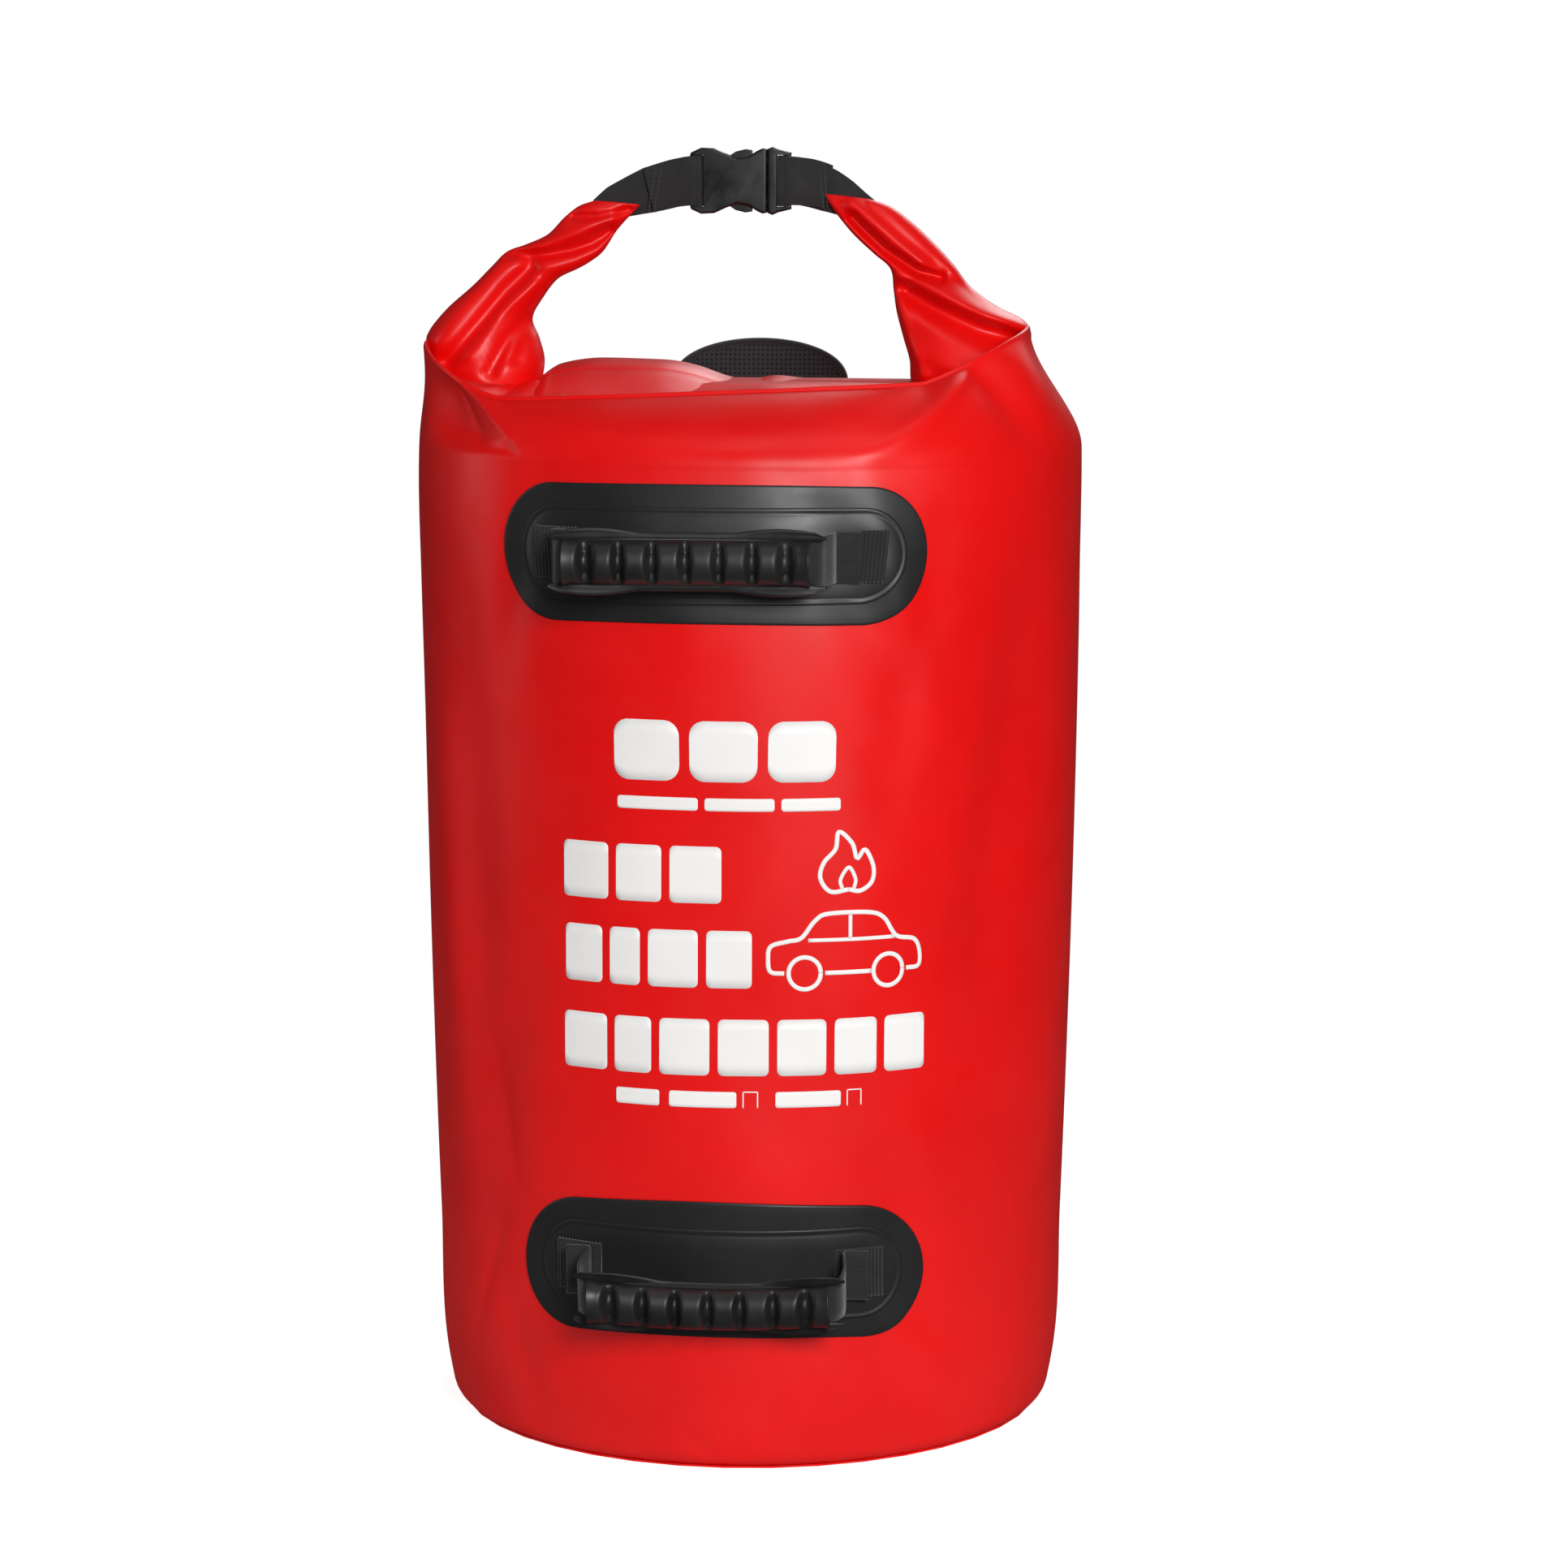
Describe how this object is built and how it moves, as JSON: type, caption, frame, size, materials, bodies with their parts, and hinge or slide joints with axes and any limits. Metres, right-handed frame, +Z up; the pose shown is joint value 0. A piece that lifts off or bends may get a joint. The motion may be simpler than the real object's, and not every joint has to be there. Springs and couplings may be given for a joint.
{
  "type": "packed car fire blanket",
  "caption": "Upright roll-top bag holding a folded fire blanket, with rubber-gripped front handles, a buckled carry loop and a padded shoulder harness.",
  "frame": {"origin": "middle of the base disc's underside, on the floor", "axes": "+Z up the bag, -Y out of the front where the handles are, +X to the right seen from the front"},
  "size_m": [0.403, 0.4412, 0.7749],
  "materials": {
    "red_sheet": "red coated fabric with a soft satin shine",
    "black_sheet": "black coated fabric, satin",
    "black_webbing": "black woven webbing, matt",
    "red_webbing": "red woven webbing, matt",
    "glass_cloth": "pale grey coated glass cloth",
    "grip_rubber": "black moulded rubber, satin",
    "buckle_nylon": "black moulded nylon with a slight shine",
    "air_mesh": "black padded air mesh"
  },
  "bodies": {
    "bag": {"bag_shell": "red_sheet", "base_disc": "red_sheet", "base_weld_ring": "red_sheet", "side_seam_tape": "red_sheet", "closure_roll": "red_sheet", "fire_blanket": "glass_cloth", "blanket_pull_loop_1": "red_webbing", "blanket_pull_loop_2": "red_webbing", "blanket_pull_loop_3": "red_webbing", "blanket_pull_loop_4": "red_webbing", "top_handle_patch": "black_sheet", "top_handle_backing": "black_sheet", "top_handle_left_anchor": "black_webbing", "top_handle_right_anchor": "black_webbing", "bottom_handle_patch": "black_sheet", "bottom_handle_backing": "black_sheet", "bottom_handle_left_anchor": "black_webbing", "bottom_handle_right_anchor": "black_webbing", "harness_patch": "black_sheet", "harness_tab": "black_webbing", "harness_yoke": "air_mesh", "left_lower_patch": "black_sheet", "right_lower_patch": "black_sheet", "left_lower_anchor": "black_webbing", "right_lower_anchor": "black_webbing", "left_lower_webbing": "black_webbing", "right_lower_webbing": "black_webbing"},
    "top_handle": {"top_handle_webbing": "black_webbing", "top_handle_grip": "grip_rubber"},
    "bottom_handle": {"bottom_handle_webbing": "black_webbing", "bottom_handle_grip": "grip_rubber"},
    "carry_loop": {"left_roll_arm": "red_sheet", "right_roll_arm": "red_sheet", "left_webbing": "black_webbing", "buckle_socket": "buckle_nylon"},
    "buckle_insert_half": {"right_webbing": "black_webbing", "buckle_insert": "buckle_nylon"},
    "upper_prong": {"upper_prong": "buckle_nylon"},
    "lower_prong": {"lower_prong": "buckle_nylon"},
    "left_shoulder_strap": {"left_shoulder_pad": "air_mesh"},
    "right_shoulder_strap": {"right_shoulder_pad": "air_mesh"},
    "left_ladder_lock": {"left_ladder_lock": "buckle_nylon"},
    "right_ladder_lock": {"right_ladder_lock": "buckle_nylon"}
  },
  "joints": [
    {"name": "carry_loop_tilt", "type": "hinge", "parent": "bag", "child": "carry_loop", "pos_m": [0, 0, 0.656], "axis": [1, 0, 0], "range_deg": [-30, 30]},
    {"name": "buckle_release", "type": "slide", "parent": "carry_loop", "child": "buckle_insert_half", "axis": [1, 0, 0], "range_m": [0, 0.03], "deforming": ["right_roll_arm", "upper_prong", "lower_prong"]},
    {"name": "upper_prong_press", "type": "hinge", "parent": "buckle_insert_half", "child": "upper_prong", "pos_m": [0.0124, 0, 0.767], "axis": [0, -1, 0], "range_deg": [0, 10], "stiffness_Nm_per_rad": 0.3},
    {"name": "lower_prong_press", "type": "hinge", "parent": "buckle_insert_half", "child": "lower_prong", "pos_m": [0.0124, 0, 0.742], "axis": [0, 1, 0], "range_deg": [0, 10], "stiffness_Nm_per_rad": 0.3},
    {"name": "top_handle_swing", "type": "hinge", "parent": "bag", "child": "top_handle", "pos_m": [-0.011, -0.17008, 0.545], "axis": [1, 0, 0], "range_deg": [-40, 35], "deforming": ["top_handle_webbing"]},
    {"name": "bottom_handle_swing", "type": "hinge", "parent": "bag", "child": "bottom_handle", "pos_m": [-0.004, -0.18068, 0.121], "axis": [1, 0, 0], "range_deg": [-50, 25], "deforming": ["bottom_handle_webbing"]},
    {"name": "left_strap_swing", "type": "hinge", "parent": "bag", "child": "left_shoulder_strap", "pos_m": [-0.035, 0.1798, 0.59], "axis": [1, 0, 0], "range_deg": [0, 25], "deforming": ["left_lower_webbing"]},
    {"name": "right_strap_swing", "type": "hinge", "parent": "bag", "child": "right_shoulder_strap", "pos_m": [0.02, 0.1798, 0.59], "axis": [1, 0, 0], "range_deg": [0, 25], "deforming": ["right_lower_webbing"]},
    {"name": "left_ladder_lock_tilt", "type": "hinge", "parent": "left_shoulder_strap", "child": "left_ladder_lock", "pos_m": [-0.1214, 0.187, 0.314], "axis": [0.8189, 0.5739, 0], "range_deg": [0, 40], "deforming": ["left_lower_webbing"]},
    {"name": "right_ladder_lock_tilt", "type": "hinge", "parent": "right_shoulder_strap", "child": "right_ladder_lock", "pos_m": [0.1214, 0.187, 0.314], "axis": [0.8189, -0.5739, 0], "range_deg": [0, 40], "deforming": ["right_lower_webbing"]}
  ]
}
